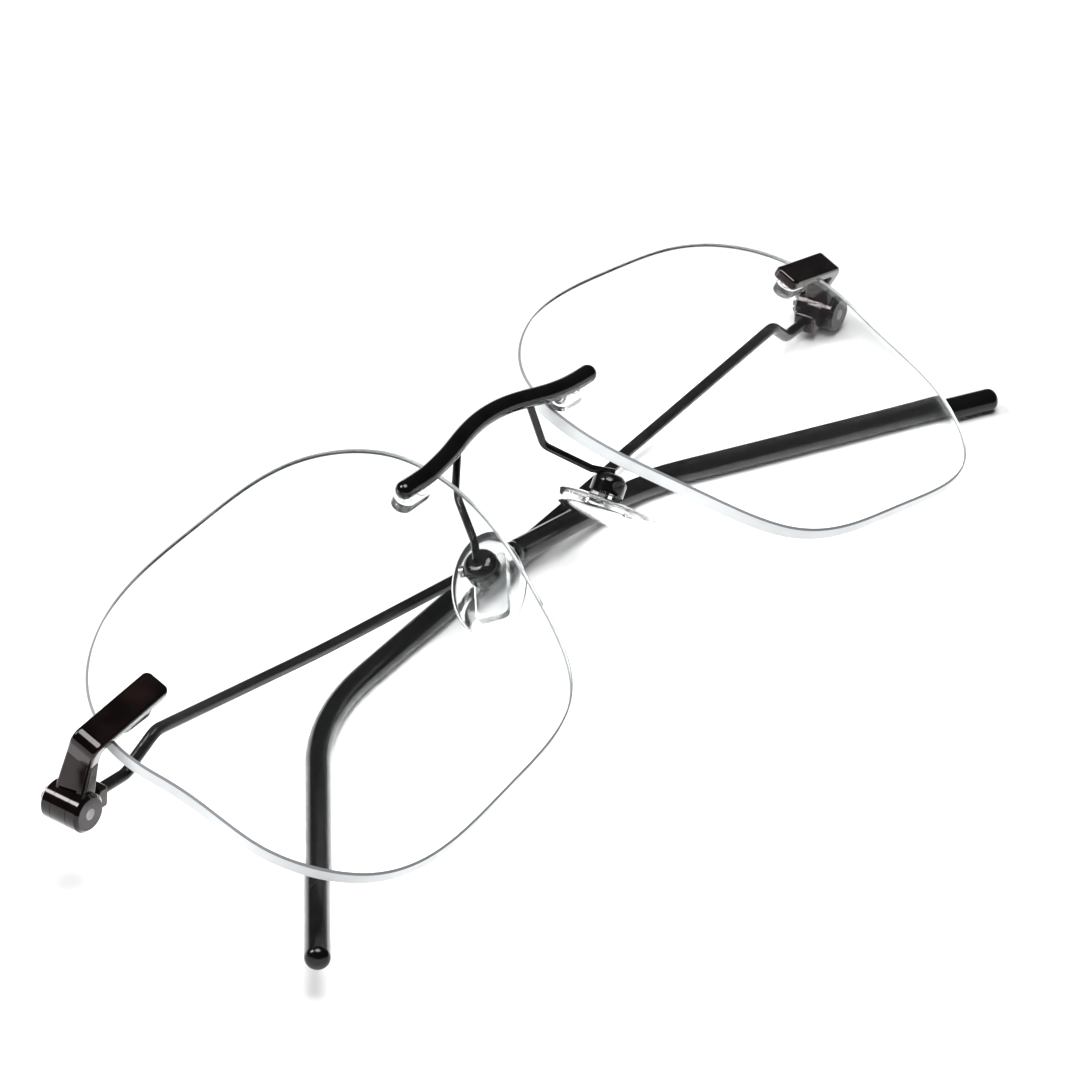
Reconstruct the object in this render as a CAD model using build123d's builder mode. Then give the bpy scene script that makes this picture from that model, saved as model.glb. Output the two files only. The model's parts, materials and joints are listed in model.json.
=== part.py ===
from build123d import *
import os
from math import cos, radians, sin, sqrt, tan

# Rimless eyeglasses, lying face up on their folded temples.
# Everything is drawn in the wearer's frame first: X to the wearer's left, Y up the face,
# Z forward out of the lens fronts, with the origin midway between the lenses.
# The last function lays the finished pieces on the surface that they rest on.

# lenses
lens_width = 54.0
lens_centre_x = 36.6
wrap_angle = 5.8
front_radius = 196.0
lens_thickness = 1.6
lens_bevel = 0.2
blank_height = 30.0
hole_radius = 0.75

# compression mounts: metal posts in clear plastic double sleeves
post_radius = 0.45
post_spacing = 2.8
post_end_gap = 0.2
sleeve_base_thickness = 0.8
sleeve_base_radius = 1.15
sleeve_end_gap = 0.05

# bridge
bridge_radius = 1.0
bridge_end_x = 16.3
bridge_end_y = 10.4
bridge_post_x = 14.0
# the bridge's middle line from its end on a lens to its middle: x, rise and reach forward
bridge_line = [
    (bridge_end_x, 0, 0),
    (11.3, 0.1, 0.3),
    (8.3, 0.55, 0.5),
    (6.2, 1.0, 0.65),
    (3.7, 1.5, 0.75),
    (0, 1.8, 0.8),
]

# pad arms, boxes and pads
arm_wire_radius = 0.42
arm_start_x = 6.2
arm_upper_corner = (8.0, 8.1, -2.6)
arm_lower_corner = (10.8, 3.2, -3.2)
arm_end_gap = 0.15
arm_bend_radii = [1.5, 1.0]
box_centre = (11.8, 0.9, -4.3)
pad_normal = (-0.6, -0.35, -0.72)
pad_length_dir = (0.678, -0.702, -0.219)
box_radius = 1.85
box_top = 1.3
box_bottom = -0.9
box_crown_round = 1.1
slot_width = 1.8
slot_length = 2.3
slot_top = 0.8
lug_width = 1.5
lug_radius = 0.65
lug_neck = 0.9
pad_screw_radius = 0.35
pad_screw_clearance = 0.05
pad_head_radius = 0.6
pad_head_height = 0.45
pad_head_slot = 0.2
pad_face_gap = 1.5
pad_slide = 0.8
pad_length = 12.4
pad_width = 8.2
pad_thickness = 2.3
pad_back_round = 0.8
pad_face_round = 1.2
core_length = 7.4
core_width = 3.6
core_thickness = 0.7
core_depth = 0.5
core_corner = 0.6

# endpieces and hinges
strap_start_x = 55.8
strap_start_y = 9.05
strap_width = 3.1
strap_thickness = 1.3
strap_lean = -2.0
strap_length = 11.2
strap_corner = 0.7
strap_edge_round = 0.35
bend_radius_outer = 1.25
lip_thickness = 1.6
lip_depth = 1.8
lip_corner = 0.4
neck_inset = 0.03
neck_foot_thickness = 2.3
neck_foot_width = 3.7
strap_post_x = 58.9
strap_edge_x = 62.6
strap_lift = 0.12
lens_gap = 0.03
hinge_centre = (66.8, 7.1, -11.7)
barrel_radius = 2.05
barrel_height = 4.9
barrel_chamfer = 0.35
middle_leaf_height = 1.9
leaf_gap = 0.05
hinge_pin_radius = 0.6
hinge_pin_clearance = 0.04
hinge_head_radius = 1.15
hinge_head_height = 0.5
hinge_head_chamfer = 0.15
hinge_slot_width = 0.35
hinge_slot_depth = 0.25

# hinge axes: up the face, leaning back and outward
axis_pitch = -0.40
left_lean = -0.045
right_lean = -0.063

# temples
block_start = 2.3
block_end = 3.9
block_height = 2.6
block_corner = 0.5
wire_seat = 1.2
block_thickness = 2.4
block_chamfer = 0.25
temple_wire_radius = 0.64
step_start = 7.7
step_length = 3.7
step_drop = 0.3
step_inward = 3.4
step_radius = 1.8
line_radius = 60.0
line_start = 40.0
line_rise = 2.6
temple_length = 139.3
tip_start = 70.0
bend_start = 88.2
bend_radius = 28.0
left_bend = 34.5
right_bend = 22.0
core_share = 0.7
curve_in = 2.6
tip_radius = 1.28
tip_end_round = 0.9
left_fold = 4.3
right_fold = 2.3

# turns that set the glasses on the three points they rest on:
# the bend of the left temple, the left hinge screw and the right tip
table_pitch = 16.73
table_roll = 3.56

LEFT = 1
RIGHT = -1


def mirrored(point, side):
    """A point given for the wearer's left side, on either side."""
    x, y, z = point
    return Vector(side * x, y, z)


def lens_plane(side):
    """The plane of one lens, turned by the face-form wrap."""
    angle = radians(wrap_angle)
    normal = Vector(side * sin(angle), 0, cos(angle))
    along = Vector(cos(angle), 0, -side * sin(angle))
    return Plane(origin=(side * lens_centre_x, 0, 0), x_dir=along, z_dir=normal)


def front_height(x, y):
    """Height of the left lens's front surface in the wearer's frame."""
    angle = radians(wrap_angle)
    across = (x - lens_centre_x) / cos(angle)
    sag = front_radius - sqrt(front_radius**2 - across**2 - y**2)
    return -across * sin(angle) - sag / cos(angle)


def axis_of(plane):
    """The axis that a plane's faces are sorted along."""
    return Axis(plane.origin, plane.z_dir)


def on_lens(side, x, y):
    """Plane at the lens front over a point, square to the lens plane."""
    face = lens_plane(side)
    point = mirrored((x, y, front_height(x, y)), side)
    return Plane(origin=point, x_dir=face.x_dir, z_dir=face.z_dir)


def save(builder, name):
    """Name a finished piece and keep it for laying on the table."""
    builder.part.label = name
    pieces[name] = builder.part


pieces = {}


def lens_outline():
    """Rounded outline of the left lens, its nasal side leaning in towards the bottom."""
    half = lens_width / 2
    Spline(
        (half - 0.1, 2.0),
        (24.1, 13.9),
        (17.9, 17.9),
        (0.0, 20.7),
        (-19.3, 19.3),
        (-25.4, 14.7),
        (-half, 7.2),
        (-22.7, -6.1),
        (-16.3, -16.3),
        (0.0, -20.8),
        (18.9, -18.9),
        (24.8, -11.0),
        periodic=True,
    )


def post_places(side):
    """Planes of the four mounting holes of one lens, two by the nose and two by the temple."""
    half = post_spacing / 2
    bridge_pair = [on_lens(side, bridge_post_x + shift, bridge_end_y) for shift in (-half, half)]
    strap_x = [strap_post_x - half, strap_post_x + half]
    temple_pair = [on_lens(side, x, strap_height(x)) for x in strap_x]
    return bridge_pair, temple_pair


def strap_height(x):
    """Y of the strap's middle line at a given x."""
    return strap_start_y + (x - strap_start_x) * tan(radians(strap_lean))


def make_lens(side, name):
    plane = lens_plane(side)
    with BuildPart() as lens:
        with BuildSketch(plane.offset(-blank_height / 2)):
            with BuildLine():
                lens_outline()
                if side == RIGHT:
                    mirror(about=Plane.YZ, mode=Mode.REPLACE)
            make_face()
        extrude(amount=blank_height)
        with Locations(plane.offset(-front_radius)):
            Sphere(front_radius, rotation=(90, 0, 0), mode=Mode.INTERSECT)
            Sphere(front_radius - lens_thickness, rotation=(90, 0, 0), mode=Mode.SUBTRACT)
        chamfer(lens.edges().filter_by(GeomType.LINE, reverse=True), length=lens_bevel)
        bridge_pair, temple_pair = post_places(side)
        for place in bridge_pair + temple_pair:
            with BuildSketch(place):
                Circle(hole_radius)
            extrude(amount=3 * lens_thickness, both=True, mode=Mode.SUBTRACT)
    save(lens, name)
    return lens


def bridge_points():
    """The bridge's middle line, flat on each lens and arching up and forward over the nose."""
    y = bridge_end_y
    z = front_height(bridge_end_x, bridge_end_y) + bridge_radius + lens_gap
    left_half = [(x, y + rise, z + forward) for x, rise, forward in bridge_line]
    right_half = [(-x, y, z) for x, y, z in reversed(left_half[:-1])]
    return left_half + right_half


def make_bridge():
    points = bridge_points()
    with BuildPart() as bridge:
        with BuildLine() as path:
            Spline(*points, tangents=[(-1, 0, 0), (-1, 0, 0)])
        with BuildSketch(Plane(origin=points[0], z_dir=(-1, 0, 0))):
            Circle(bridge_radius)
        sweep(path=path.wires()[0])
        with Locations(points[0], points[-1]):
            Sphere(bridge_radius)
        for side in (LEFT, RIGHT):
            for place in post_places(side)[0]:
                with BuildSketch(place.offset(bridge_radius)):
                    Circle(post_radius)
                extrude(amount=-(bridge_radius + post_length()))
    save(bridge, "bridge")
    return bridge


def post_length():
    """How far a post reaches behind the lens front."""
    return lens_thickness + sleeve_base_thickness - post_end_gap


def make_sleeve(pair, name, lens):
    """Two clear tubes in one pair of lens holes, joined by a base seated on the lens back."""
    first, second = pair
    base_back = -(lens_thickness + lens_gap + sleeve_base_thickness)
    middle = Plane(
        origin=(first.origin + second.origin) / 2,
        x_dir=second.origin - first.origin,
        z_dir=first.z_dir,
    )
    with BuildPart() as sleeve:
        with BuildSketch(middle.offset(base_back)):
            SlotCenterToCenter(post_spacing, 2 * sleeve_base_radius)
        extrude(amount=sleeve_base_thickness + lens_thickness / 2)
        add(lens.part, mode=Mode.SUBTRACT)
        for place in pair:
            with BuildSketch(place.offset(base_back)):
                Circle(hole_radius)
            extrude(amount=-base_back - sleeve_end_gap)
        for place in pair:
            with BuildSketch(place.offset(-post_length())):
                Circle(post_radius)
            extrude(amount=2 * post_length(), mode=Mode.SUBTRACT)
    save(sleeve, name)


def pad_plane(side):
    """Frame of one pad: X along the pad screw, Y down the pad, Z towards the lens."""
    origin = mirrored(box_centre, side)
    forward = mirrored(pad_normal, side) * -1
    down = mirrored(pad_length_dir, side)
    across = down.cross(forward)
    return Plane(origin=origin, x_dir=across, z_dir=forward)


def make_pad_box(side, name):
    plane = pad_plane(side)
    with BuildPart() as box:
        with BuildSketch(plane.offset(box_bottom)):
            Circle(box_radius)
        extrude(amount=box_top - box_bottom)
        fillet(box.faces().sort_by(axis_of(plane))[-1].edges(), radius=box_crown_round)
        with BuildSketch(plane.offset(box_bottom)):
            Rectangle(slot_width, slot_length)
        extrude(amount=slot_top - box_bottom, mode=Mode.SUBTRACT)
        with BuildSketch(Plane(origin=plane.origin, x_dir=plane.y_dir, z_dir=plane.x_dir)):
            Circle(pad_screw_radius)
        extrude(amount=box_radius, both=True, mode=Mode.SUBTRACT)
    save(box, name)
    return box


def make_pad_arm(side, name, bridge, box):
    """Wire from the back of the bridge, past the edge of the lens and down to the pad box."""
    plane = pad_plane(side)
    end = plane.origin + plane.z_dir * (box_top + arm_end_gap)
    start = next(point for point in bridge_points() if point[0] == arm_start_x)
    route = [
        mirrored(start, side),
        mirrored(arm_upper_corner, side),
        mirrored(arm_lower_corner, side),
        end,
    ]
    with BuildPart() as arm:
        with BuildLine() as path:
            FilletPolyline(*route, radius=arm_bend_radii)
        with BuildSketch(Plane(origin=route[0], z_dir=route[1] - route[0])):
            Circle(arm_wire_radius)
        sweep(path=path.wires()[0])
        add(bridge.part, mode=Mode.SUBTRACT)
        add(box.part, mode=Mode.SUBTRACT)
    save(arm, name)


def make_pad_screw(side, name):
    plane = pad_plane(side)
    across = Plane(origin=plane.origin, x_dir=plane.y_dir, z_dir=plane.x_dir)
    with BuildPart() as screw:
        with BuildSketch(across):
            Circle(pad_screw_radius)
        extrude(amount=box_radius, both=True)
        with BuildSketch(across.offset(box_radius)):
            Circle(pad_head_radius)
        extrude(amount=pad_head_height)
        with BuildSketch(across.offset(box_radius + pad_head_height)):
            Rectangle(3 * pad_head_radius, pad_head_slot)
        extrude(amount=-pad_head_slot, mode=Mode.SUBTRACT)
    save(screw, name)


def make_pad_core(side, name):
    """Rigid insert moulded into the pad, with the lug that the pad screw goes through."""
    plane = pad_plane(side)
    plate_top = -(pad_face_gap + core_depth)
    lug_plane = Plane(origin=plane.origin, x_dir=plane.y_dir, z_dir=plane.x_dir)
    with BuildPart() as core:
        with BuildSketch(Plane(plate_centre(plane, plate_top), plane.x_dir, plane.z_dir)):
            RectangleRounded(core_width, core_length, core_corner)
        extrude(amount=-core_thickness)
        with BuildSketch(plane.offset(plate_top)):
            Rectangle(lug_width, lug_neck)
        extrude(amount=-plate_top)
        with BuildSketch(lug_plane):
            Circle(lug_radius)
        extrude(amount=lug_width / 2, both=True)
        with BuildSketch(lug_plane):
            Circle(pad_screw_radius + pad_screw_clearance)
        extrude(amount=lug_width, both=True, mode=Mode.SUBTRACT)
    save(core, name)
    return core


def plate_centre(plane, height):
    return plane.origin + plane.z_dir * height + plane.y_dir * pad_slide


def make_nose_pad(side, name, core):
    plane = pad_plane(side)
    top = Plane(plate_centre(plane, -pad_face_gap), plane.x_dir, plane.z_dir)
    with BuildPart() as pad:
        with BuildSketch(top):
            Ellipse(pad_width / 2, pad_length / 2)
        extrude(amount=-pad_thickness)
        fillet(pad.faces().sort_by(axis_of(plane))[-1].edges(), radius=pad_back_round)
        fillet(pad.faces().sort_by(axis_of(plane))[0].edges(), radius=pad_face_round)
        add(core.part, mode=Mode.SUBTRACT)
    save(pad, name)


def hinge_axis(side):
    """Direction of a temple hinge's pin, up the face."""
    lean = left_lean if side == LEFT else right_lean
    return Vector(side * sin(lean), cos(axis_pitch), sin(axis_pitch)).normalized()


def hinge_plane(side, fold=0.0):
    """Frame of a folded temple: origin on the pin, X along the arm, Z up the pin."""
    up = hinge_axis(side)
    across = Vector(-side, 0, 0)
    across = (across - up * across.dot(up)).normalized()
    back = up.cross(across) * -side
    along = across * cos(radians(fold)) + back * sin(radians(fold))
    return Plane(origin=mirrored(hinge_centre, side), x_dir=along, z_dir=up)


def strap_plane(side):
    """Side plane of an endpiece's strap: X along the strap, Y out of the lens front."""
    start = Vector(strap_start_x, strap_start_y, front_height(strap_start_x, strap_start_y))
    edge_y = strap_height(strap_edge_x)
    edge = Vector(strap_edge_x, edge_y, front_height(strap_edge_x, edge_y))
    along = (edge - start).normalized()
    normal = (Vector(0, 0, 1) - along * along.Z).normalized()
    origin = start + normal * strap_lift
    return Plane(
        origin=mirrored(origin, side),
        x_dir=mirrored(along, side),
        z_dir=mirrored(along, side).cross(mirrored(normal, side)),
    )


def make_endpiece(side, name):
    """Strap on the lens front, neck back to the hinge, the two outer leaves and two posts."""
    plane = strap_plane(side)
    hinge = hinge_plane(side)
    neck_x = strap_length - lip_thickness
    top = plane.origin + plane.x_dir * (strap_length - lip_thickness / 2)
    lip = Plane(origin=top, x_dir=plane.x_dir, z_dir=plane.y_dir)
    foot = Plane(origin=hinge.origin, x_dir=(side, 0, 0), z_dir=top - hinge.origin)
    with BuildPart() as endpiece:
        with BuildSketch(plane):
            with BuildLine():
                FilletPolyline(
                    (0, 0),
                    (0, strap_thickness),
                    (strap_length, strap_thickness),
                    (strap_length, -lip_depth),
                    (neck_x, -lip_depth),
                    (neck_x, 0),
                    radius=[0, 0, bend_radius_outer, 0, 0, lip_corner],
                    close=True,
                )
            make_face()
        extrude(amount=strap_width / 2, both=True)
        end_face = endpiece.faces().sort_by(Axis(plane.origin, plane.x_dir))[0]
        fillet(end_face.edges().filter_by(Axis(plane.origin, plane.y_dir)), radius=strap_corner)
        sides = endpiece.faces().sort_by(axis_of(plane))
        fillet(sides[0].edges() + sides[-1].edges(), radius=strap_edge_round)
        with BuildSketch(lip.offset(strap_edge_round - lip_depth)):
            RectangleRounded(lip_thickness - neck_inset, strap_width - neck_inset, strap_edge_round)
        with BuildSketch(foot):
            RectangleRounded(neck_foot_thickness, neck_foot_width, strap_edge_round)
        loft()
        half = barrel_height / 2
        with BuildSketch(Plane(origin=hinge.origin, x_dir=hinge.x_dir, z_dir=hinge.y_dir)):
            Polygon(
                (0, -half),
                (barrel_radius - barrel_chamfer, -half),
                (barrel_radius, barrel_chamfer - half),
                (barrel_radius, half - barrel_chamfer),
                (barrel_radius - barrel_chamfer, half),
                (0, half),
                align=None,
            )
        revolve(axis=axis_of(hinge))
        middle_space = middle_leaf_height + 2 * leaf_gap
        with BuildSketch(hinge.offset(-middle_space / 2)):
            Circle(1.1 * barrel_radius)
        extrude(amount=middle_space, mode=Mode.SUBTRACT)
        with BuildSketch(hinge):
            Circle(hinge_pin_radius)
        extrude(amount=barrel_height, both=True, mode=Mode.SUBTRACT)
        for place in post_places(side)[1]:
            with BuildSketch(place.offset(strap_thickness / 2)):
                Circle(post_radius)
            extrude(amount=-(strap_thickness / 2 + post_length()))
    save(endpiece, name)


def make_hinge_screw(side, name):
    """Screw down the hinge barrel, with a slotted head on top."""
    hinge = hinge_plane(side)
    top = hinge.offset(barrel_height / 2)
    with BuildPart() as screw:
        with BuildSketch(hinge.offset(-barrel_height / 2)):
            Circle(hinge_pin_radius)
        extrude(amount=barrel_height)
        with BuildSketch(top):
            Circle(hinge_head_radius)
        extrude(amount=hinge_head_height)
        crown = screw.faces().sort_by(axis_of(hinge))[-1]
        chamfer(crown.edges(), length=hinge_head_chamfer)
        with BuildSketch(top.offset(hinge_head_height)):
            Rectangle(3 * hinge_head_radius, hinge_slot_width)
        extrude(amount=-hinge_slot_depth, mode=Mode.SUBTRACT)
    save(screw, name)


def make_temple_block(side, name):
    """Middle hinge leaf and the block that carries the temple wire."""
    hinge = hinge_plane(side, fold_of(side))
    web = (block_start + block_end) / 2
    with BuildPart() as block:
        with BuildSketch(hinge.offset(-middle_leaf_height / 2)):
            Circle(barrel_radius)
            with Locations((web / 2, 0)):
                Rectangle(web, block_thickness)
        extrude(amount=middle_leaf_height)
        with BuildSketch(hinge.offset(-block_height / 2)):
            with Locations(((block_start + block_end) / 2, 0)):
                RectangleRounded(block_end - block_start, block_thickness, block_corner)
        extrude(amount=block_height)
        ends = block.faces().sort_by(axis_of(hinge))
        chamfer(ends[0].edges() + ends[-1].edges(), length=block_chamfer)
        with BuildSketch(hinge):
            Circle(hinge_pin_radius + hinge_pin_clearance)
        extrude(amount=barrel_height, both=True, mode=Mode.SUBTRACT)
    save(block, name)
    return block


def fold_of(side):
    return left_fold if side == LEFT else right_fold


def temple_point(side, along, up, inward):
    """A point of a folded temple, from its distances along the arm, up the pin and inward."""
    hinge = hinge_plane(side, fold_of(side))
    return hinge.origin + hinge.x_dir * along + hinge.z_dir * up + hinge.y_dir * (side * inward)


def temple_route(side):
    """Corners of the tip's middle line: where it starts, where it bends and where it ends."""
    drop = radians(left_bend if side == LEFT else right_bend)
    lean = radians(curve_in)
    corner = bend_start + bend_radius * tan(drop / 2)
    run = temple_length - bend_start - bend_radius * drop + bend_radius * tan(drop / 2)
    start = temple_point(side, tip_start, line_rise, 0)
    bend = temple_point(side, corner, line_rise, 0)
    end = temple_point(
        side,
        corner + run * cos(drop) * cos(lean),
        line_rise - run * sin(drop) * cos(lean),
        run * sin(lean),
    )
    return start, bend, end


def make_temple_wire(side, name, block):
    """Wire from the hinge block, stepped up behind the lens edge, and on inside the tip."""
    start, bend, end = temple_route(side)
    core_end = bend + (end - bend) * core_share
    route = [
        temple_point(side, block_end - wire_seat, 0, 0),
        temple_point(side, step_start, 0, 0.1 * step_inward),
        temple_point(side, step_start + step_length, -step_drop, step_inward),
        temple_point(side, line_start, line_rise, 0),
        bend,
        core_end,
    ]
    with BuildPart() as wire:
        with BuildLine() as path:
            FilletPolyline(*route, radius=[step_radius, step_radius, line_radius, bend_radius])
        with BuildSketch(Plane(origin=route[0], z_dir=route[1] - route[0])):
            Circle(temple_wire_radius)
        sweep(path=path.wires()[0])
        add(block.part, mode=Mode.SUBTRACT)
    save(wire, name)
    return wire


def make_temple_tip(side, name, wire):
    """Moulded tip over the end of the wire, bent down behind the ear."""
    route = temple_route(side)
    with BuildPart() as tip:
        with BuildLine() as path:
            FilletPolyline(*route, radius=bend_radius)
        with BuildSketch(Plane(origin=route[0], z_dir=route[1] - route[0])):
            Circle(tip_radius)
        sweep(path=path.wires()[0])
        ends = tip.faces().filter_by(GeomType.PLANE)
        fillet(ends.edges(), radius=tip_end_round)
        add(wire.part, mode=Mode.SUBTRACT)
    save(tip, name)


def make_side(side, word, bridge):
    """Every piece that comes in a left and a right."""
    bridge_pair, temple_pair = post_places(side)
    lens = make_lens(side, f"lens_{word}")
    make_sleeve(bridge_pair, f"bridge_sleeve_{word}", lens)
    make_sleeve(temple_pair, f"endpiece_sleeve_{word}", lens)
    box = make_pad_box(side, f"pad_box_{word}")
    make_pad_arm(side, f"pad_arm_{word}", bridge, box)
    make_pad_screw(side, f"pad_screw_{word}")
    core = make_pad_core(side, f"pad_core_{word}")
    make_nose_pad(side, f"nose_pad_{word}", core)
    make_endpiece(side, f"endpiece_{word}")
    make_hinge_screw(side, f"hinge_screw_{word}")
    block = make_temple_block(side, f"temple_hinge_{word}")
    wire = make_temple_wire(side, f"temple_wire_{word}", block)
    make_temple_tip(side, f"temple_tip_{word}", wire)


def lay_on_table():
    """Turn the finished glasses to rest on their temples, over the origin, and write them."""
    turned = {}
    for name, piece in pieces.items():
        turned[name] = piece.rotate(Axis.X, table_pitch).rotate(Axis.Y, table_roll)
    box = Compound(list(turned.values())).bounding_box()
    centre = box.center()
    shift = Location((-centre.X, -centre.Y, -box.min.Z))
    for name, piece in turned.items():
        placed = piece.moved(shift)
        placed.label = name
        export_step(placed, f"parts/{name}.step")
    return shift


os.makedirs("parts", exist_ok=True)
bridge = make_bridge()
make_side(LEFT, "left", bridge)
make_side(RIGHT, "right", bridge)
shift = lay_on_table()
print("moved by", shift.position)
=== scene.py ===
"""Rimless eyeglasses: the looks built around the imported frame, laid out as an add-on."""

import json
import math

import bmesh
import bpy
import numpy as np
from mathutils import Matrix, Vector

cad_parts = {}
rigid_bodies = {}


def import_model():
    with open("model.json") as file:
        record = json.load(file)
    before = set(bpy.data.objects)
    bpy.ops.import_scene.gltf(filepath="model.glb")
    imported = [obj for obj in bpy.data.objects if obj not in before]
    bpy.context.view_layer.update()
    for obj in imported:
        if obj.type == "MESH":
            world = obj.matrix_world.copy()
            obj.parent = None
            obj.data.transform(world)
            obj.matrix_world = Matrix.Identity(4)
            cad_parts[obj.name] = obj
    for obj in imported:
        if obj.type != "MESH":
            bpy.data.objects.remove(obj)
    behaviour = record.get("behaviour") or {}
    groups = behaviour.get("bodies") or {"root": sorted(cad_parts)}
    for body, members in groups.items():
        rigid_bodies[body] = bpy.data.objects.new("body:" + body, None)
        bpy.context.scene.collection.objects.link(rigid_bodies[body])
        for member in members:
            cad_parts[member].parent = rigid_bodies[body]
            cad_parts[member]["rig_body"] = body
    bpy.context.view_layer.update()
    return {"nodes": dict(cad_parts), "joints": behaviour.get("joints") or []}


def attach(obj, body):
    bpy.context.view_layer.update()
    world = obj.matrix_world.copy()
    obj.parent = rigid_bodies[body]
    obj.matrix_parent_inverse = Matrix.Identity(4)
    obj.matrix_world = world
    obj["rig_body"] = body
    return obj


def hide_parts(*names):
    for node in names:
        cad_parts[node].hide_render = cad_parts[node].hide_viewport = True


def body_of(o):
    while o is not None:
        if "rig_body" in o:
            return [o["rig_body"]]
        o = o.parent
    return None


bl_info = {
    "name": "Rimless Eyeglasses",
    "version": (1, 0, 0),
    "blender": (4, 5, 0),
    "location": "View3D > Sidebar > Eyeglasses",
    "description": "Finishes and soft parts for folded rimless eyeglasses, with their studio",
    "category": "Object",
}

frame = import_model()
SIDES = ("left", "right")
MM = 0.001
BAND_LIMIT = 0.86
BAND_LIFT = 0.012 * MM
SHARP_CORNER = 0.4
HEAD_SHARE = 0.8
PAD_BACK_EASE = 0.34
PAD_EASE_SCALE = 1.24
PAD_FULLNESS = 0.55
BEVEL_SLOPE = 0.4
# corners of each tip's middle line from its hinge pin, in mm: its start, its bend and its end
TIP_CORNERS = {
    "left": ((-70.035, -1.102, -0.813), (-96.891, -2.518, -1.020), (-130.961, -28.303, 3.187)),
    "right": ((69.672, -2.092, -6.938), (93.155, -3.670, -9.184), (134.533, -23.285, -9.251)),
}
SCREWS = {
    "hinge_screw": ("temple_{}_open", (0.6, 1.15, 0.5, 0.35, 0.25)),
    "pad_screw": ("pad_{}_rock", (0.35, 0.6, 0.45, 0.2, 0.2)),
}
CAMERA_FROM_HINGE = Vector((-0.461177, -0.249533, 0.339873))


# ---------------------------------------------------------------- node helpers


def join(tree, source, target):
    """Link an output socket to an input socket."""
    tree.links.new(source, target)


def add_node(tree, kind, **values):
    """Add a node and set its plain properties."""
    node = tree.nodes.new(kind)
    for name, value in values.items():
        setattr(node, name, value)
    return node


def math_node(tree, operation, first, second=None, clamp=False):
    """A Math node whose inputs are sockets or plain numbers."""
    node = add_node(tree, "ShaderNodeMath", operation=operation, use_clamp=clamp)
    for index, value in enumerate((first, second)):
        if value is None:
            continue
        if isinstance(value, bpy.types.NodeSocket):
            join(tree, value, node.inputs[index])
        else:
            node.inputs[index].default_value = value
    return node.outputs[0]


def remap(tree, value, low, high, to_low=0.0, to_high=1.0):
    """Stretch a value from one range to another, clamped."""
    node = add_node(tree, "ShaderNodeMapRange")
    join(tree, value, node.inputs["Value"])
    node.inputs["From Min"].default_value = low
    node.inputs["From Max"].default_value = high
    node.inputs["To Min"].default_value = to_low
    node.inputs["To Max"].default_value = to_high
    return node.outputs["Result"]


def mix_colours(tree, share, first, second):
    """Mix two colours; each may be a socket or a colour."""
    node = add_node(tree, "ShaderNodeMix", data_type="RGBA")
    colour_inputs = [s for s in node.inputs if s.type == "RGBA"]
    for socket, value in ((node.inputs[0], share), (colour_inputs[0], first), (colour_inputs[1], second)):
        if isinstance(value, bpy.types.NodeSocket):
            join(tree, value, socket)
        else:
            socket.default_value = value
    return [s for s in node.outputs if s.type == "RGBA"][0]


def noise(tree, place, scale, detail=3.0, stretch=(1.0, 1.0, 1.0)):
    """A noise pattern, stretched along the axes."""
    mapping = add_node(tree, "ShaderNodeMapping")
    mapping.inputs["Scale"].default_value = stretch
    join(tree, place, mapping.inputs["Vector"])
    pattern = add_node(tree, "ShaderNodeTexNoise")
    pattern.inputs["Scale"].default_value = scale
    pattern.inputs["Detail"].default_value = detail
    join(tree, mapping.outputs["Vector"], pattern.inputs["Vector"])
    return pattern.outputs["Fac"]


def group_tree(name, inputs, outputs):
    """An empty shader node group with named sockets."""
    tree = bpy.data.node_groups.new(name, "ShaderNodeTree")
    for label, kind, value in inputs:
        socket = tree.interface.new_socket(label, in_out="INPUT", socket_type=kind)
        socket.default_value = value
    for label, kind in outputs:
        tree.interface.new_socket(label, in_out="OUTPUT", socket_type=kind)
    return tree, add_node(tree, "NodeGroupInput"), add_node(tree, "NodeGroupOutput")


def surface_wear_group():
    """Finger smudges, hairline scratches and dust, as roughness, height and a dust mask."""
    tree, given, out = group_tree(
        "surface_wear",
        [
            ("Roughness", "NodeSocketFloat", 0.2),
            ("Smudge", "NodeSocketFloat", 0.1),
            ("Scratch", "NodeSocketFloat", 0.1),
            ("Dust", "NodeSocketFloat", 0.2),
        ],
        [("Roughness", "NodeSocketFloat"), ("Height", "NodeSocketFloat"), ("Dust", "NodeSocketFloat")],
    )
    place = add_node(tree, "ShaderNodeTexCoord").outputs["Object"]
    smudge = remap(tree, noise(tree, place, 160.0, 4.0), 0.42, 0.68)
    streaks = noise(tree, place, 300.0, 2.0, (0.25, 7.0, 7.0))
    scratch = remap(tree, streaks, 0.66, 0.72)
    grains = add_node(tree, "ShaderNodeTexVoronoi")
    grains.inputs["Scale"].default_value = 1400.0
    join(tree, place, grains.inputs["Vector"])
    speck = remap(tree, grains.outputs["Distance"], 0.12, 0.05)
    patch = remap(tree, noise(tree, place, 90.0, 2.0), 0.5, 0.7)
    dust = math_node(tree, "MULTIPLY", math_node(tree, "MULTIPLY", speck, patch), given.outputs["Dust"])
    rough = math_node(tree, "MULTIPLY_ADD", smudge, given.outputs["Smudge"])
    join(tree, given.outputs["Roughness"], rough.node.inputs[2])
    rough = math_node(tree, "ADD", rough, math_node(tree, "MULTIPLY", scratch, given.outputs["Scratch"]))
    rough = math_node(tree, "ADD", rough, math_node(tree, "MULTIPLY", dust, 0.5), clamp=True)
    fine = noise(tree, place, 2600.0, 2.0)
    height = math_node(tree, "ADD", math_node(tree, "MULTIPLY", scratch, -0.6), fine)
    join(tree, rough, out.inputs["Roughness"])
    join(tree, height, out.inputs["Height"])
    join(tree, dust, out.inputs["Dust"])
    return tree


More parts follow.
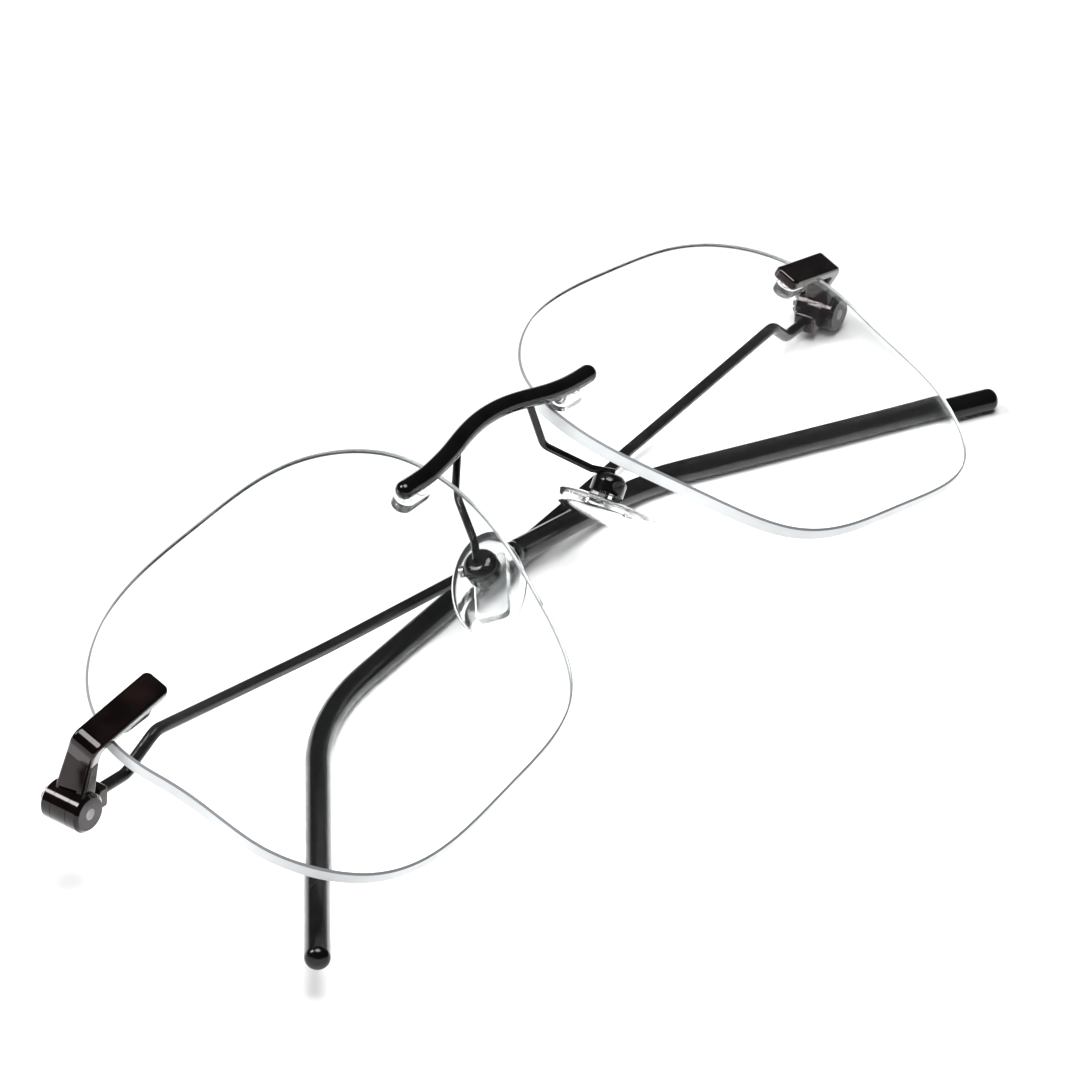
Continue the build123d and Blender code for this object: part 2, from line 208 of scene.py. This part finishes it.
def mottle_group():
    """Slow change between two shades over a surface."""
    tree, given, out = group_tree(
        "mottle",
        [
            ("Shade A", "NodeSocketColor", (0.0, 0.0, 0.0, 1.0)),
            ("Shade B", "NodeSocketColor", (1.0, 1.0, 1.0, 1.0)),
            ("Size", "NodeSocketFloat", 200.0),
        ],
        [("Color", "NodeSocketColor")],
    )
    place = add_node(tree, "ShaderNodeTexCoord").outputs["Object"]
    pattern = add_node(tree, "ShaderNodeTexNoise")
    pattern.inputs["Detail"].default_value = 3.0
    join(tree, place, pattern.inputs["Vector"])
    join(tree, given.outputs["Size"], pattern.inputs["Scale"])
    share = remap(tree, pattern.outputs["Fac"], 0.38, 0.64)
    colour = mix_colours(tree, share, given.outputs["Shade A"], given.outputs["Shade B"])
    join(tree, colour, out.inputs["Color"])
    return tree


def use_group(tree, group, **values):
    """Place a shader group in a material with its own values."""
    node = add_node(tree, "ShaderNodeGroup", node_tree=group)
    for label, value in values.items():
        node.inputs[label.replace("_", " ")].default_value = value
    return node


def new_material(name):
    material = bpy.data.materials.new(name)
    material.use_nodes = True
    return material, material.node_tree, material.node_tree.nodes["Principled BSDF"]


def add_bump(tree, shader, height, strength, distance):
    bump = add_node(tree, "ShaderNodeBump")
    bump.inputs["Strength"].default_value = strength
    bump.inputs["Distance"].default_value = distance
    join(tree, height, bump.inputs["Height"])
    join(tree, bump.outputs["Normal"], shader.inputs["Normal"])


def worn_material(name, shades, wear, metallic, coat, bump=(0.05, 0.00001)):
    """A hard finish: mottled colour, smudges, hairline scratches, dust and a gloss coat."""
    material, tree, shader = new_material(name)
    colour = use_group(tree, GROUPS["mottle"], Shade_A=shades[0], Shade_B=shades[1], Size=shades[2])
    roughness, smudge, scratch, dust = wear
    surface = use_group(
        tree, GROUPS["wear"], Roughness=roughness, Smudge=smudge, Scratch=scratch, Dust=dust
    )
    dusty = mix_colours(tree, surface.outputs["Dust"], colour.outputs["Color"], (0.45, 0.43, 0.41, 1.0))
    join(tree, dusty, shader.inputs["Base Color"])
    join(tree, surface.outputs["Roughness"], shader.inputs["Roughness"])
    shader.inputs["Metallic"].default_value = metallic
    shader.inputs["Coat Weight"].default_value = coat
    shader.inputs["Coat Roughness"].default_value = 0.05
    shader.inputs["Specular IOR Level"].default_value = 0.3
    add_bump(tree, shader, surface.outputs["Height"], *bump)
    return material


def clear_material(name, tint, roughness, ior, bump=(0.03, 0.00001), shade=0.9):
    """A clear moulding: glassy, faintly uneven, and letting most of the light past."""
    material, tree, shader = new_material(name)
    surface = use_group(tree, GROUPS["wear"], Roughness=roughness, Smudge=0.03, Scratch=0.05, Dust=0.0)
    colour = use_group(tree, GROUPS["mottle"], Shade_A=tint[0], Shade_B=tint[1], Size=260.0)
    join(tree, colour.outputs["Color"], shader.inputs["Base Color"])
    join(tree, surface.outputs["Roughness"], shader.inputs["Roughness"])
    shader.inputs["IOR"].default_value = ior
    shader.inputs["Transmission Weight"].default_value = 1.0
    add_bump(tree, shader, surface.outputs["Height"], *bump)
    let_light_past(tree, shader, shade)
    return material


def let_light_past(tree, shader, shade):
    """Shadow rays pass through, so the piece casts only a faint shadow."""
    path = add_node(tree, "ShaderNodeLightPath")
    clear = add_node(tree, "ShaderNodeBsdfTransparent")
    clear.inputs["Color"].default_value = (shade, shade, shade, 1.0)
    mix = add_node(tree, "ShaderNodeMixShader")
    join(tree, path.outputs["Is Shadow Ray"], mix.inputs[0])
    join(tree, shader.outputs["BSDF"], mix.inputs[1])
    join(tree, clear.outputs["BSDF"], mix.inputs[2])
    join(tree, mix.outputs[0], tree.nodes["Material Output"].inputs["Surface"])


def lens_material():
    """Polished lens with faint smudges."""
    material, tree, shader = new_material("lens_glass")
    surface = use_group(tree, GROUPS["wear"], Roughness=0.0, Smudge=0.012, Scratch=0.0, Dust=0.0)
    colour = use_group(
        tree, GROUPS["mottle"], Shade_A=(0.98, 0.99, 0.99, 1), Shade_B=(0.99, 0.99, 0.99, 1), Size=40.0
    )
    join(tree, colour.outputs["Color"], shader.inputs["Base Color"])
    join(tree, surface.outputs["Roughness"], shader.inputs["Roughness"])
    shader.inputs["IOR"].default_value = 1.5
    shader.inputs["Transmission Weight"].default_value = 1.0
    let_light_past(tree, shader, 0.97)
    return material


def ground_edge_material():
    """Finely ground lens edge: pale on the wall, with a painted dark reflection on the two bevels in place of
    the dark lines that internal reflection makes at a lens edge.
    """
    # the ground_edge material holds the pale ground wall and a painted dark reflection on the bevels
    material, tree, shader = new_material("ground_edge")
    surface = use_group(tree, GROUPS["wear"], Roughness=0.38, Smudge=0.12, Scratch=0.15, Dust=0.0)
    colour = use_group(
        tree, GROUPS["mottle"], Shade_A=(0.80, 0.83, 0.84, 1), Shade_B=(0.92, 0.94, 0.95, 1), Size=120.0
    )
    bevel = add_node(tree, "ShaderNodeAttribute", attribute_name="bevel").outputs["Fac"]
    # the dark grey on the bevel faces is a painted reflection, standing in for the dark lines of internal
    # reflection at the lens edge
    shade = mix_colours(tree, bevel, colour.outputs["Color"], (0.22, 0.23, 0.24, 1.0))
    join(tree, shade, shader.inputs["Base Color"])
    join(tree, surface.outputs["Roughness"], shader.inputs["Roughness"])
    add_bump(tree, shader, surface.outputs["Height"], 0.2, 0.00002)
    return material


GROUPS = {}
FINISHES = {}


def make_finishes():
    GROUPS["wear"] = surface_wear_group()
    GROUPS["mottle"] = mottle_group()
    FINISHES["enamel"] = worn_material(
        "black_enamel",
        ((0.0015, 0.0015, 0.0015, 1), (0.004, 0.0035, 0.0035, 1), 300.0),
        (0.10, 0.05, 0.06, 0.05),
        0.0,
        0.25,
    )
    FINISHES["gunmetal"] = worn_material(
        "gunmetal",
        ((0.006, 0.003, 0.003, 1), (0.020, 0.010, 0.009, 1), 260.0),
        (0.12, 0.06, 0.10, 0.05),
        0.7,
        0.6,
    )
    FINISHES["steel"] = worn_material(
        "screw_steel",
        ((0.20, 0.19, 0.19, 1), (0.34, 0.32, 0.31, 1), 700.0),
        (0.28, 0.12, 0.25, 0.2),
        1.0,
        0.0,
    )
    FINISHES["tip"] = worn_material(
        "black_tip",
        ((0.002, 0.002, 0.002, 1), (0.004, 0.004, 0.004, 1), 140.0),
        (0.17, 0.05, 0.08, 0.06),
        0.0,
        0.12,
    )
    FINISHES["lens"] = lens_material()
    # the edge finish has a painted dark reflection on its bevels
    FINISHES["edge"] = ground_edge_material()
    FINISHES["clear"] = clear_material(
        "clear_sleeve", ((0.93, 0.95, 0.95, 1), (0.97, 0.98, 0.98, 1)), 0.04, 1.49
    )
    FINISHES["insert"] = clear_material(
        "clear_insert", ((0.90, 0.92, 0.92, 1), (0.96, 0.97, 0.97, 1)), 0.10, 1.53
    )
    FINISHES["silicone"] = clear_material(
        "clear_silicone", ((0.93, 0.95, 0.95, 1), (0.98, 0.985, 0.985, 1)), 0.08, 1.41, (0.08, 0.00002)
    )


# ---------------------------------------------------------------- geometry helpers


def node_points(node):
    return np.array([v.co for v in frame["nodes"][node].data.vertices], float)


def joint_place(name):
    """Where a joint's pin is."""
    return Vector(next(joint for joint in frame["joints"] if joint["name"] == name)["pos_m"])


def joint_axis(name):
    return Vector(next(joint for joint in frame["joints"] if joint["name"] == name)["axis"]).normalized()


def own_axes(node):
    """Middle of a node and its long, wide and thin directions, with half its size along each."""
    points = node_points(node)
    middle = points.mean(0)
    _, directions = np.linalg.eigh(np.cov((points - middle).T))
    axes = directions.T[::-1]
    spans = []
    centre = np.zeros(3)
    for axis in axes:
        reach = points @ axis
        spans.append((reach.max() - reach.min()) / 2)
        centre += axis * (reach.max() + reach.min()) / 2
    return centre, axes, spans


def dress(node, finish):
    """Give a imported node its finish."""
    piece = frame["nodes"][node]
    for slot in piece.material_slots:
        slot.material = finish
    if not piece.material_slots:
        piece.data.materials.append(finish)


def link_mesh(name, mesh, finish):
    piece = bpy.data.objects.new(name, mesh)
    if finish is not None:
        mesh.materials.append(finish)
    bpy.context.scene.collection.objects.link(piece)
    return piece


def edge_band(side, axis):
    """A skin over the ground wall and bevels of a lens edge, a hair proud of the lens."""
    shape = bmesh.new()
    shape.from_mesh(frame["nodes"][f"lens_{side}"].data)
    bmesh.ops.remove_doubles(shape, verts=shape.verts, dist=1e-6)
    bmesh.ops.recalc_face_normals(shape, faces=shape.faces)
    middle = sum((v.co for v in shape.verts), Vector()) / len(shape.verts)
    sloping = [f for f in shape.faces if abs(f.normal.dot(axis)) < BAND_LIMIT]
    kept = rim_island(set(sloping), middle, axis)
    bmesh.ops.delete(shape, geom=[f for f in shape.faces if f not in kept], context="FACES")
    lift = {v: v.normal.copy() for v in shape.verts}
    inner = bmesh.ops.duplicate(shape, geom=shape.verts[:] + shape.edges[:] + shape.faces[:])
    copies = inner["vert_map"]
    for vert in list(lift):
        vert.co += lift[vert] * BAND_LIFT
    open_edges = [e for e in shape.edges if e.is_boundary and e.verts[0] in lift]
    for face in [f for f in inner["geom"] if isinstance(f, bmesh.types.BMFace)]:
        face.normal_flip()
    for edge in open_edges:
        first, second = edge.verts
        shape.faces.new((second, first, copies[first], copies[second]))
    bmesh.ops.recalc_face_normals(shape, faces=shape.faces)
    mesh = bpy.data.meshes.new(f"ground_edge_{side}")
    for face in shape.faces:
        face.smooth = True
    shape.normal_update()
    for edge in shape.edges:
        edge.smooth = not edge.is_manifold or edge.calc_face_angle() < SHARP_CORNER
    # the bevel mask marks the faces that face along the lens axis; the edge material paints a dark reflection
    # on them
    bevel = [1.0 if abs(f.normal.dot(axis)) > BEVEL_SLOPE else 0.0 for f in shape.faces]
    shape.to_mesh(mesh)
    shape.free()
    mesh.attributes.new("bevel", "FLOAT", "FACE").data.foreach_set("value", bevel)
    return mesh


def rim_island(sloping, middle, axis):
    """The one run of connected faces that goes round the rim, without the walls of the holes."""
    start = max(sloping, key=lambda f: rim_distance(f, middle, axis))
    island = {start}
    waiting = [start]
    while waiting:
        face = waiting.pop()
        for edge in face.edges:
            for near in edge.link_faces:
                if near in sloping and near not in island:
                    island.add(near)
                    waiting.append(near)
    return island


def rim_distance(face, middle, axis):
    """How far a face is from the middle of its lens, across the lens."""
    away = face.calc_center_median() - middle
    return (away - axis * away.dot(axis)).length


# ---------------------------------------------------------------- geometry nodes


def geometry_tree(name, inputs):
    """An empty geometry tree with named inputs, and a helper that finds an input's identifier."""
    tree = bpy.data.node_groups.new(name, "GeometryNodeTree")
    tree.interface.new_socket("Geometry", in_out="INPUT", socket_type="NodeSocketGeometry")
    for label, kind, value in inputs:
        socket = tree.interface.new_socket(label, in_out="INPUT", socket_type=kind)
        if value is not None:
            socket.default_value = value
    tree.interface.new_socket("Geometry", in_out="OUTPUT", socket_type="NodeSocketGeometry")
    return tree, add_node(tree, "NodeGroupInput"), add_node(tree, "NodeGroupOutput")


def run_tree(source, tree, values):
    """Run a geometry tree on an object and return the plain mesh it makes."""
    modifier = source.modifiers.new(tree.name, "NODES")
    modifier.node_group = tree
    for item in tree.interface.items_tree:
        if item.in_out == "INPUT" and item.name in values:
            modifier[item.identifier] = values[item.name]
    bpy.context.view_layer.update()
    ready = source.evaluated_get(bpy.context.evaluated_depsgraph_get())
    mesh = bpy.data.meshes.new_from_object(ready)
    source.modifiers.remove(modifier)
    bpy.data.objects.remove(source)
    return mesh


def finish_tree(tree, given, out, geometry):
    """End a geometry tree as plain mesh with its finish."""
    real = add_node(tree, "GeometryNodeRealizeInstances")
    join(tree, geometry, real.inputs["Geometry"])
    coat = add_node(tree, "GeometryNodeSetMaterial")
    join(tree, real.outputs["Geometry"], coat.inputs["Geometry"])
    join(tree, given.outputs["Finish"], coat.inputs["Material"])
    join(tree, coat.outputs["Geometry"], out.inputs["Geometry"])


def moulded_tip_tree():
    """A round moulding along a bent line: rounded ends, and a shallow groove near its start."""
    tree, given, out = geometry_tree(
        "moulded_tip",
        [
            ("Radius", "NodeSocketFloat", 0.00128),
            ("Bend Radius", "NodeSocketFloat", 0.028),
            ("End Round", "NodeSocketFloat", 0.0009),
            ("Step", "NodeSocketFloat", 0.00012),
            ("Groove Place", "NodeSocketFloat", 0.0016),
            ("Groove Width", "NodeSocketFloat", 0.00035),
            ("Groove Depth", "NodeSocketFloat", 0.00010),
            ("Finish", "NodeSocketMaterial", None),
        ],
    )
    bend = add_node(tree, "GeometryNodeFilletCurve")
    if "Mode" in bend.inputs:
        bend.inputs["Mode"].default_value = "Poly"
    else:
        bend.mode = "POLY"
    bend.inputs["Count"].default_value = 48
    join(tree, given.outputs["Geometry"], bend.inputs["Curve"])
    join(tree, given.outputs["Bend Radius"], bend.inputs["Radius"])
    line = add_node(tree, "GeometryNodeResampleCurve")
    if "Mode" in line.inputs:
        line.inputs["Mode"].default_value = "Length"
    else:
        line.mode = "LENGTH"
    join(tree, bend.outputs["Curve"], line.inputs["Curve"])
    join(tree, given.outputs["Step"], line.inputs["Length"])
    along = add_node(tree, "GeometryNodeSplineParameter").outputs["Length"]
    whole = add_node(tree, "GeometryNodeSplineLength").outputs["Length"]
    to_end = math_node(tree, "MINIMUM", along, math_node(tree, "SUBTRACT", whole, along))
    inside = math_node(tree, "SUBTRACT", given.outputs["End Round"], to_end)
    inside = math_node(tree, "MAXIMUM", inside, 0.0)
    round_squared = math_node(tree, "POWER", given.outputs["End Round"], 2.0)
    inside_squared = math_node(tree, "POWER", inside, 2.0)
    squares = math_node(tree, "SUBTRACT", round_squared, inside_squared)
    arc = math_node(tree, "SQRT", math_node(tree, "MAXIMUM", squares, 0.0))
    body = math_node(tree, "SUBTRACT", given.outputs["Radius"], given.outputs["End Round"])
    radius = math_node(tree, "ADD", body, arc)
    off = math_node(tree, "ABSOLUTE", math_node(tree, "SUBTRACT", along, given.outputs["Groove Place"]))
    near = math_node(tree, "DIVIDE", off, given.outputs["Groove Width"])
    groove = math_node(tree, "SUBTRACT", 1.0, math_node(tree, "MULTIPLY", near, near), clamp=True)
    groove = math_node(tree, "MULTIPLY", groove, given.outputs["Groove Depth"])
    radius = math_node(tree, "SUBTRACT", radius, groove)
    sized = add_node(tree, "GeometryNodeSetCurveRadius")
    join(tree, line.outputs["Curve"], sized.inputs["Curve"])
    join(tree, radius, sized.inputs["Radius"])
    ring = add_node(tree, "GeometryNodeCurvePrimitiveCircle")
    ring.inputs["Resolution"].default_value = 40
    ring.inputs["Radius"].default_value = 1.0
    skin = add_node(tree, "GeometryNodeCurveToMesh")
    skin.inputs["Fill Caps"].default_value = True
    join(tree, sized.outputs["Curve"], skin.inputs["Curve"])
    join(tree, ring.outputs["Curve"], skin.inputs["Profile Curve"])
    if "Scale" in skin.inputs:
        join(tree, radius, skin.inputs["Scale"])
    smooth = add_node(tree, "GeometryNodeSetShadeSmooth")
    join(tree, skin.outputs["Mesh"], smooth.inputs["Geometry"])
    finish_tree(tree, given, out, smooth.outputs["Geometry"])
    return tree


def slotted_screw_tree():
    """A plain shank with a slotted head on top."""
    tree, given, out = geometry_tree(
        "slotted_screw",
        [
            ("Shank Radius", "NodeSocketFloat", 0.0006),
            ("Shank Length", "NodeSocketFloat", 0.005),
            ("Head Radius", "NodeSocketFloat", 0.00115),
            ("Head Height", "NodeSocketFloat", 0.0005),
            ("Slot Width", "NodeSocketFloat", 0.00035),
            ("Slot Depth", "NodeSocketFloat", 0.00025),
            ("Finish", "NodeSocketMaterial", None),
        ],
    )

    def round_bar(radius, depth, middle, sides):
        bar = add_node(tree, "GeometryNodeMeshCylinder")
        bar.inputs["Vertices"].default_value = sides
        join(tree, radius, bar.inputs["Radius"])
        join(tree, depth, bar.inputs["Depth"])
        return move(bar.outputs["Mesh"], middle)

    def move(mesh, height):
        place = add_node(tree, "ShaderNodeCombineXYZ")
        join(tree, height, place.inputs["Z"])
        shift = add_node(tree, "GeometryNodeTransform")
        join(tree, mesh, shift.inputs["Geometry"])
        join(tree, place.outputs["Vector"], shift.inputs["Translation"])
        return shift.outputs["Geometry"]

    bite = math_node(tree, "MULTIPLY", given.outputs["Head Height"], 0.4)
    reach = math_node(tree, "ADD", given.outputs["Shank Length"], bite)
    half_shank = math_node(tree, "SUBTRACT", bite, math_node(tree, "MULTIPLY", reach, 0.5))
    half_head = math_node(tree, "MULTIPLY", given.outputs["Head Height"], 0.5)
    shank = round_bar(given.outputs["Shank Radius"], reach, half_shank, 32)
    head = round_bar(given.outputs["Head Radius"], given.outputs["Head Height"], half_head, 48)
    slot = add_node(tree, "GeometryNodeMeshCube")
    size = add_node(tree, "ShaderNodeCombineXYZ")
    join(tree, math_node(tree, "MULTIPLY", given.outputs["Head Radius"], 3.0), size.inputs["X"])
    join(tree, given.outputs["Slot Width"], size.inputs["Y"])
    join(tree, math_node(tree, "MULTIPLY", given.outputs["Slot Depth"], 2.0), size.inputs["Z"])
    join(tree, size.outputs["Vector"], slot.inputs["Size"])
    cut = add_node(tree, "GeometryNodeMeshBoolean", operation="DIFFERENCE")
    join(tree, head, cut.inputs["Mesh 1"])
    join(tree, move(slot.outputs["Mesh"], given.outputs["Head Height"]), cut.inputs["Mesh 2"])
    whole = add_node(tree, "GeometryNodeMeshBoolean", operation="UNION")
    join(tree, cut.outputs["Mesh"], whole.inputs["Mesh 2"])
    join(tree, shank, whole.inputs["Mesh 2"])
    finish_tree(tree, given, out, whole.outputs["Mesh"])
    return tree


def line_object(name, points):
    """A bare poly curve through the given points, to run a geometry tree on."""
    curve = bpy.data.curves.new(name, "CURVE")
    curve.dimensions = "3D"
    spline = curve.splines.new("POLY")
    spline.points.add(len(points) - 1)
    for point, place in zip(spline.points, points):
        point.co = (*place, 1.0)
    source = bpy.data.objects.new(name, curve)
    bpy.context.scene.collection.objects.link(source)
    return source


# ---------------------------------------------------------------- sizes and colours


class EyeglassesLook(bpy.types.PropertyGroup):
    """Sizes and strengths a user would change."""

    pad_crown: bpy.props.FloatProperty(
        name="Pad crown",
        description="Fullness of the pad face, from flat to round",
        default=0.62,
        min=0.2,
        max=1.0,
    )
    tip_radius: bpy.props.FloatProperty(
        name="Tip radius",
        description="Radius of the moulded temple tips",
        default=0.00128,
        unit="LENGTH",
        precision=5,
    )
    tip_bend: bpy.props.FloatProperty(
        name="Tip bend",
        description="Radius of the bend behind the ear",
        default=0.028,
        unit="LENGTH",
        precision=4,
    )
    tip_end: bpy.props.FloatProperty(
        name="Tip end",
        description="Rounding of the ends of a tip",
        default=0.0009,
        unit="LENGTH",
        precision=5,
    )
    floor_shade: bpy.props.FloatProperty(
        name="Floor shade",
        description="Paleness of the studio floor",
        default=0.9,
        min=0.0,
        max=1.0,
        subtype="FACTOR",
    )
    floor_size: bpy.props.FloatProperty(
        name="Floor size", description="Width of the studio floor", default=6.0, unit="LENGTH"
    )
    lamp_power: bpy.props.FloatProperty(
        name="Lamp power", description="Power of the top soft lamp", default=16.0, unit="POWER"
    )


# ---------------------------------------------------------------- operators


class EYEGLASSES_OT_lenses(bpy.types.Operator):
    """Polish the lenses and grind their edges, with a painted dark reflection on the edge bevels"""

    bl_idname = "eyeglasses.lenses"
    bl_label = "Lenses"

    def execute(self, context):
        for side in SIDES:
            _, axes, _ = own_axes(f"lens_{side}")
            dress(f"lens_{side}", FINISHES["lens"])
            # the ground_edge band carries a painted dark reflection on its bevels
            edge = link_mesh(f"ground_edge_{side}", edge_band(side, Vector(axes[2])), FINISHES["edge"])
            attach(edge, "front")
            for place in ("bridge", "endpiece"):
                dress(f"{place}_sleeve_{side}", FINISHES["clear"])
        return {"FINISHED"}


class EYEGLASSES_OT_metal(bpy.types.Operator):
    """Finish the bridge, pad arms, boxes, endpieces, hinges and temple wires"""

    bl_idname = "eyeglasses.metal"
    bl_label = "Metal parts"

    def execute(self, context):
        dress("bridge", FINISHES["enamel"])
        for side in SIDES:
            for node in ("pad_arm", "pad_box", "temple_wire"):
                dress(f"{node}_{side}", FINISHES["enamel"])
            for node in ("endpiece", "temple_hinge"):
                dress(f"{node}_{side}", FINISHES["gunmetal"])
        return {"FINISHED"}


class EYEGLASSES_OT_screws(bpy.types.Operator):
    """Turn the slotted hinge screws and pad screws"""

    bl_idname = "eyeglasses.screws"
    bl_label = "Screws"

    def execute(self, context):
        tree = slotted_screw_tree()
        for side in SIDES:
            for kind, (joint, sizes) in SCREWS.items():
                node = f"{kind}_{side}"
                axis = joint_axis(joint.format(side))
                centre, _, _ = own_axes(node)
                line = np.array(axis)
                offsets = node_points(node) - centre
                along = node_points(node) @ line
                wide = np.linalg.norm(offsets - np.outer(offsets @ line, line), axis=1)
                head = along[wide > wide.max() * HEAD_SHARE]
                head_up = head.mean() > (along.max() + along.min()) / 2
                axis = axis if head_up else -axis
                top = Vector(centre) + axis * ((along.max() - along.min()) / 2 - sizes[2] * MM)
                length = along.max() - along.min() - sizes[2] * MM
                names = ("Shank Radius", "Head Radius", "Head Height", "Slot Width", "Slot Depth")
                values = {label: size * MM for label, size in zip(names, sizes)}
                source = line_object(f"screw_seed_{node}", [(0, 0, 0), (0, 0, MM)])
                finish = {"Shank Length": float(length), "Finish": FINISHES["steel"]}
                mesh = run_tree(source, tree, {**values, **finish})
                turn = axis.to_track_quat("Z", "Y").to_matrix().to_4x4()
                mesh.transform(Matrix.Translation(top) @ turn)
                screw = link_mesh(f"slotted_{node}", mesh, None)
                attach(screw, body_of(frame["nodes"][node])[0])
                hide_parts(node)
        return {"FINISHED"}


class EYEGLASSES_OT_tips(bpy.types.Operator):
    """Finish the moulded temple tips"""

    bl_idname = "eyeglasses.tips"
    bl_label = "Temple tips"

    def execute(self, context):
        look = context.scene.eyeglasses_look
        tree = moulded_tip_tree()
        sizes = {"Radius": look.tip_radius, "Bend Radius": look.tip_bend, "End Round": look.tip_end}
        for side in SIDES:
            hinge = joint_place(f"temple_{side}_open")
            route = [hinge + Vector(corner) * MM for corner in TIP_CORNERS[side]]
            source = line_object(f"tip_line_{side}", route)
            mesh = run_tree(source, tree, {**sizes, "Finish": FINISHES["tip"]})
            tip = link_mesh(f"moulded_tip_{side}", mesh, None)
            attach(tip, f"temple_{side}")
            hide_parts(f"temple_tip_{side}")
        return {"FINISHED"}


class EYEGLASSES_OT_pads(bpy.types.Operator):
    """Mould the soft clear nose pads round their inserts"""

    bl_idname = "eyeglasses.pads"
    bl_label = "Nose pads"

    def execute(self, context):
        crown = context.scene.eyeglasses_look.pad_crown
        for side in SIDES:
            dress(f"pad_core_{side}", FINISHES["insert"])
            node = f"nose_pad_{side}"
            centre, axes, spans = own_axes(node)
            box_centre, _, _ = own_axes(f"pad_box_{side}")
            if np.dot(box_centre - centre, axes[2]) < 0:
                axes[2] = -axes[2]
            mesh = bpy.data.meshes.new(f"silicone_pad_{side}")
            shape = bmesh.new()
            bmesh.ops.create_uvsphere(shape, u_segments=96, v_segments=48, radius=1.0)
            for vertex in shape.verts:
                x, y, z = vertex.co
                flat = math.hypot(x, y)
                ease = crown if z < 0 else PAD_BACK_EASE
                lift = math.copysign(abs(z) ** (ease * PAD_EASE_SCALE), z) if abs(z) > 1e-9 else 0.0
                swell = flat**PAD_FULLNESS / flat if flat > 1e-9 else 1.0
                point = axes[0] * x * swell * spans[0] + axes[1] * y * swell * spans[1]
                point = centre + point + axes[2] * lift * spans[2]
                vertex.co = point
            bmesh.ops.recalc_face_normals(shape, faces=shape.faces)
            for face in shape.faces:
                face.smooth = True
            shape.to_mesh(mesh)
            shape.free()
            pad = link_mesh(f"silicone_pad_{side}", mesh, FINISHES["silicone"])
            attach(pad, f"pad_{side}")
            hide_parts(node)
        return {"FINISHED"}


class EYEGLASSES_OT_studio(bpy.types.Operator):
    """Lay the pale floor and set the soft lamps and the camera"""

    bl_idname = "eyeglasses.studio"
    bl_label = "Studio"

    def execute(self, context):
        look = context.scene.eyeglasses_look
        half = look.floor_size / 2
        mesh = bpy.data.meshes.new("studio_floor")
        corners = [(-half, -half, 0), (half, -half, 0), (half, half, 0), (-half, half, 0)]
        mesh.from_pydata(corners, [], [(0, 1, 2, 3)])
        material, tree, shader = new_material("pale_floor")
        shade = look.floor_shade
        pale = shade + 0.01
        colour = use_group(
            tree, GROUPS["mottle"], Shade_A=(shade, shade, shade, 1), Shade_B=(pale, pale, pale, 1), Size=30.0
        )
        join(tree, colour.outputs["Color"], shader.inputs["Base Color"])
        shader.inputs["Roughness"].default_value = 0.7
        shader.inputs["Specular IOR Level"].default_value = 0.1
        link_mesh("studio_floor", mesh, material)
        world = bpy.data.worlds.new("studio_air")
        world.use_nodes = True
        air = world.node_tree.nodes["Background"]
        air.inputs["Color"].default_value = (0.95, 0.97, 1.0, 1.0)
        air.inputs["Strength"].default_value = 0.06
        context.scene.world = world
        add_lamp("soft_lamp_top", (-0.15, -0.05, 1.2), 0.8, look.lamp_power)
        add_lamp("soft_lamp_side", (-0.6, 0.7, 0.9), 0.5, look.lamp_power * 0.7)
        add_camera(context.scene)
        context.scene.view_settings.view_transform = "Standard"
        return {"FINISHED"}


def add_lamp(name, place, size, power):
    data = bpy.data.lights.new(name, "AREA")
    data.shape = "DISK"
    data.size = size
    data.energy = power
    lamp = bpy.data.objects.new(name, data)
    lamp.location = place
    lamp.rotation_mode = "QUATERNION"
    lamp.rotation_quaternion = (-Vector(place)).to_track_quat("-Z", "Y")
    bpy.context.scene.collection.objects.link(lamp)


def add_camera(scene):
    """A long lens from above the wearer's right, tilted a little."""
    data = bpy.data.cameras.new("studio_camera")
    data.sensor_width = 36.0
    data.lens = 183.33
    data.clip_start = 0.01
    camera = bpy.data.objects.new("studio_camera", data)
    ahead = Vector((0.6929, 0.4245, -0.5829)).normalized()
    up = Vector((0.4318, 0.4031, 0.8069))
    right = ahead.cross(up).normalized()
    up = right.cross(ahead)
    turn = Matrix((right, up, -ahead)).transposed().to_4x4()
    camera.matrix_world = Matrix.Translation(joint_place("temple_left_open") + CAMERA_FROM_HINGE) @ turn
    scene.collection.objects.link(camera)
    scene.camera = camera


STEPS = (
    ("lenses", EYEGLASSES_OT_lenses),
    ("metal", EYEGLASSES_OT_metal),
    ("screws", EYEGLASSES_OT_screws),
    ("tips", EYEGLASSES_OT_tips),
    ("pads", EYEGLASSES_OT_pads),
    ("studio", EYEGLASSES_OT_studio),
)


class EYEGLASSES_PT_panel(bpy.types.Panel):
    """Lists the steps in the order they are made"""

    bl_idname = "EYEGLASSES_PT_panel"
    bl_label = "Eyeglasses"
    bl_space_type = "VIEW_3D"
    bl_region_type = "UI"
    bl_category = "Eyeglasses"

    def draw(self, context):
        look = context.scene.eyeglasses_look
        for name in ("pad_crown", "floor_shade", "floor_size", "lamp_power"):
            self.layout.prop(look, name)
        for _, operator in STEPS:
            self.layout.operator(operator.bl_idname)


CLASSES = (EyeglassesLook, *[operator for _, operator in STEPS], EYEGLASSES_PT_panel)


def register():
    for item in CLASSES:
        bpy.utils.register_class(item)
    bpy.types.Scene.eyeglasses_look = bpy.props.PointerProperty(type=EyeglassesLook)


def unregister():
    del bpy.types.Scene.eyeglasses_look
    for item in reversed(CLASSES):
        bpy.utils.unregister_class(item)


def main():
    register()
    make_finishes()
    for name, _ in STEPS:
        getattr(bpy.ops.eyeglasses, name)()


if __name__ == "__main__":
    main()
